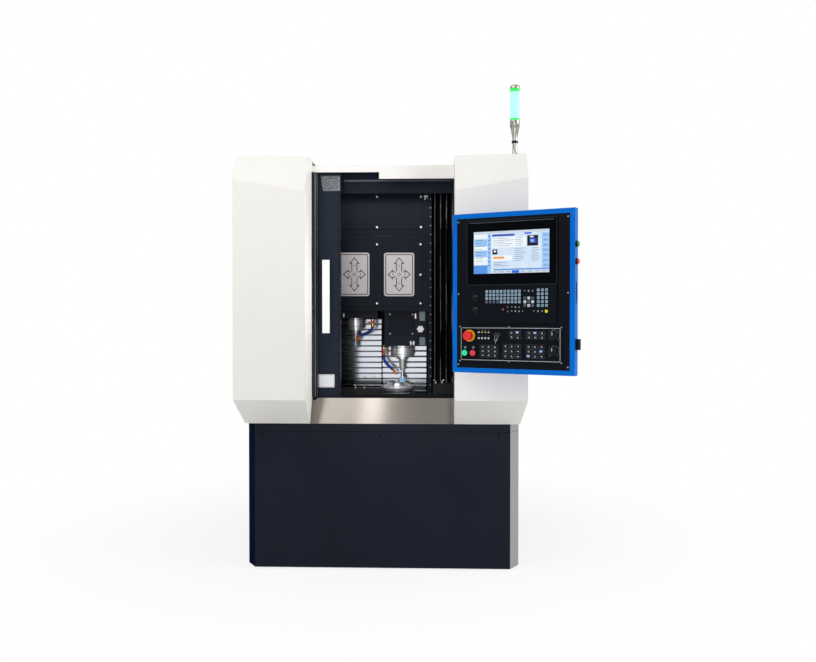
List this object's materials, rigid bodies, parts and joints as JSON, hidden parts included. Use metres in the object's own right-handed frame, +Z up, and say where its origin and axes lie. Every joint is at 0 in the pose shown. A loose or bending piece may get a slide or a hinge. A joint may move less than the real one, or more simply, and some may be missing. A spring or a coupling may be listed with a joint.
{
  "type": "vertical grinding machine",
  "caption": "Upright grinding machine with a faceted white front enclosure, sliding door, twin wheel heads over a chuck, dark base, swivelling blue control panel and a green tower light.",
  "frame": {"origin": "middle of the anchor hole pattern under the base, which stands 10 mm above the floor plane at Z = 0", "axes": "+X to the operator's right, -Y towards the operator, +Z up"},
  "size_m": [1.5076, 2.0058, 2.297],
  "materials": {
    "abrasive": "matte",
    "bellows_cloth": "matte",
    "black_plastic": "matte",
    "blue_paint": "satin",
    "blue_plastic": "satin",
    "brass": "satin",
    "cast": "matte",
    "chrome": "polished",
    "dark_aluminium": "satin",
    "dark_paint": "satin",
    "glass": "clear",
    "green_plastic": "gloss",
    "navy_paint": "satin",
    "red_plastic": "gloss",
    "steel": "brushed",
    "white_paint": "satin",
    "white_plastic": "gloss"
  },
  "bodies": {
    "frame": {"base_frame": "navy_paint", "base_front_cover": "navy_paint", "levelling_feet": "steel", "machine_bed": "cast", "column": "cast", "x_rails": "steel", "left_pod": "white_paint", "right_pod": "white_paint", "side_panels": "white_paint", "rear_panel": "white_paint", "roof_panel": "white_paint", "door_header": "white_paint", "sill": "steel", "workhead_housing": "cast", "bed_covers": "dark_paint", "x_bellows": "bellows_cloth", "tower_light_post": "chrome", "tower_light_lens": "green_plastic"},
    "door_lead": {"door_leaf": "navy_paint", "door_window": "glass", "door_handle": "white_plastic"},
    "door_trail": {"trailing_leaf": "navy_paint"},
    "saddle": {"saddle": "cast", "upper_cover": "dark_paint", "head_cover": "dark_paint", "z_rails": "steel", "left_slat_cover": "steel", "right_slat_cover": "steel"},
    "left_head": {"left_head": "dark_aluminium", "left_spindle_housing": "steel", "left_coolant_valve": "brass", "left_coolant_hose": "blue_plastic"},
    "left_lever": {"left_valve_lever": "red_plastic"},
    "left_spindle": {"left_quill": "steel", "left_wheel": "abrasive"},
    "right_head": {"right_head": "dark_aluminium", "right_spindle_housing": "steel", "right_coolant_valve": "brass", "right_coolant_hose": "blue_plastic"},
    "right_lever": {"right_valve_lever": "red_plastic"},
    "right_spindle": {"right_quill": "steel", "right_wheel": "abrasive"},
    "clamp": {"clamp_knob": "white_plastic"},
    "work_spindle": {"chuck_body": "steel"},
    "jaw_a": {"jaw_a": "steel"},
    "jaw_b": {"jaw_b": "steel"},
    "jaw_c": {"jaw_c": "steel"},
    "arm": {"panel_arm": "dark_aluminium"},
    "panel": {"panel_housing": "blue_paint", "panel_plate": "black_plastic", "controller_bezel": "black_plastic", "machine_control_plate": "black_plastic"},
    "estop": {"estop_head": "red_plastic"},
    "start": {"start_button": "green_plastic"},
    "stop": {"stop_button": "red_plastic"},
    "key": {"key_switch": "steel"},
    "feed": {"feed_knob": "black_plastic"},
    "speed": {"speed_knob": "black_plastic"},
    "side_start": {"side_start_button": "green_plastic"},
    "side_stop": {"side_stop_button": "red_plastic"}
  },
  "joints": [
    {"name": "door_slide", "type": "slide", "parent": "frame", "child": "door_lead", "axis": [1, 0, 0], "range_m": [0, 0.551]},
    {"name": "door_trail_slide", "type": "slide", "parent": "frame", "child": "door_trail", "axis": [1, 0, 0], "range_m": [0, 0.2755]},
    {"name": "x_axis", "type": "slide", "parent": "frame", "child": "saddle", "axis": [1, 0, 0], "range_m": [-0.06, 0.13], "deforming": ["x_bellows"]},
    {"name": "z_left", "type": "slide", "parent": "saddle", "child": "left_head", "axis": [0, 0, 1], "range_m": [-0.15, 0.15], "deforming": ["left_slat_cover"]},
    {"name": "z_right", "type": "slide", "parent": "saddle", "child": "right_head", "axis": [0, 0, 1], "range_m": [0, 0.2], "deforming": ["right_slat_cover"]},
    {"name": "left_wheel_spin", "type": "hinge", "parent": "left_head", "child": "left_spindle", "pos_m": [-0.16899, -0.22, 1.135], "axis": [0, 0, 1], "continuous": true},
    {"name": "right_wheel_spin", "type": "hinge", "parent": "right_head", "child": "right_spindle", "pos_m": [0.07699, -0.22, 0.989], "axis": [0, 0, 1], "continuous": true},
    {"name": "work_spin", "type": "hinge", "parent": "frame", "child": "work_spindle", "pos_m": [0.051, -0.22, 0.78], "axis": [0, 0, 1], "continuous": true},
    {"name": "jaw_a_slide", "type": "slide", "parent": "work_spindle", "child": "jaw_a", "axis": [0, -1, 0], "range_m": [-0.004, 0.004]},
    {"name": "jaw_b_slide", "type": "slide", "parent": "work_spindle", "child": "jaw_b", "axis": [0.866, 0.5, 0], "range_m": [-0.004, 0.004]},
    {"name": "jaw_c_slide", "type": "slide", "parent": "work_spindle", "child": "jaw_c", "axis": [-0.866, 0.5, 0], "range_m": [-0.004, 0.004]},
    {"name": "left_valve_turn", "type": "hinge", "parent": "left_head", "child": "left_lever", "pos_m": [-0.07598, -0.272, 1.165], "axis": [0, 1, 0], "range_deg": [-90, 0]},
    {"name": "right_valve_turn", "type": "hinge", "parent": "right_head", "child": "right_lever", "pos_m": [-0.01801, -0.272, 1.022], "axis": [0, 1, 0], "range_deg": [0, 90]},
    {"name": "clamp_turn", "type": "hinge", "parent": "right_head", "child": "clamp", "pos_m": [0.173, -0.296, 1.131], "axis": [0, 1, 0], "range_deg": [0, 270]},
    {"name": "arm_swivel", "type": "hinge", "parent": "frame", "child": "arm", "pos_m": [0.6, -0.925, 1.2945], "axis": [0, 0, 1], "range_deg": [-15, 25]},
    {"name": "panel_swivel", "type": "hinge", "parent": "arm", "child": "panel", "pos_m": [0.65289, -1.01948, 1.2945], "axis": [0, 0, 1], "range_deg": [-10, 40]},
    {"name": "estop_push", "type": "slide", "parent": "panel", "child": "estop", "axis": [0.4633, 0.8862, 0], "range_m": [0, 0.004], "stiffness_N_per_m": 2000},
    {"name": "start_push", "type": "slide", "parent": "panel", "child": "start", "axis": [0.4633, 0.8862, 0], "range_m": [0, 0.003], "stiffness_N_per_m": 800},
    {"name": "stop_push", "type": "slide", "parent": "panel", "child": "stop", "axis": [0.4633, 0.8862, 0], "range_m": [0, 0.003], "stiffness_N_per_m": 800},
    {"name": "key_turn", "type": "hinge", "parent": "panel", "child": "key", "pos_m": [0.51456, -1.15028, 1.1115], "axis": [0.4633, 0.8862, 0], "range_deg": [0, 90]},
    {"name": "feed_turn", "type": "hinge", "parent": "panel", "child": "feed", "pos_m": [0.73522, -1.26564, 1.1185], "axis": [0.4633, 0.8862, 0], "range_deg": [-135, 135]},
    {"name": "speed_turn", "type": "hinge", "parent": "panel", "child": "speed", "pos_m": [0.73433, -1.26517, 1.0535], "axis": [0.4633, 0.8862, 0], "range_deg": [-135, 135]},
    {"name": "side_start_push", "type": "slide", "parent": "panel", "child": "side_start", "axis": [-0.8862, 0.4633, 0], "range_m": [0, 0.003], "stiffness_N_per_m": 800},
    {"name": "side_stop_push", "type": "slide", "parent": "panel", "child": "side_stop", "axis": [-0.8862, 0.4633, 0], "range_m": [0, 0.003], "stiffness_N_per_m": 800}
  ],
  "couplings": [
    {"joint": "door_trail_slide", "follows": "door_slide", "ratio": 0.5},
    {"joint": "jaw_b_slide", "follows": "jaw_a_slide", "ratio": 1},
    {"joint": "jaw_c_slide", "follows": "jaw_a_slide", "ratio": 1}
  ]
}
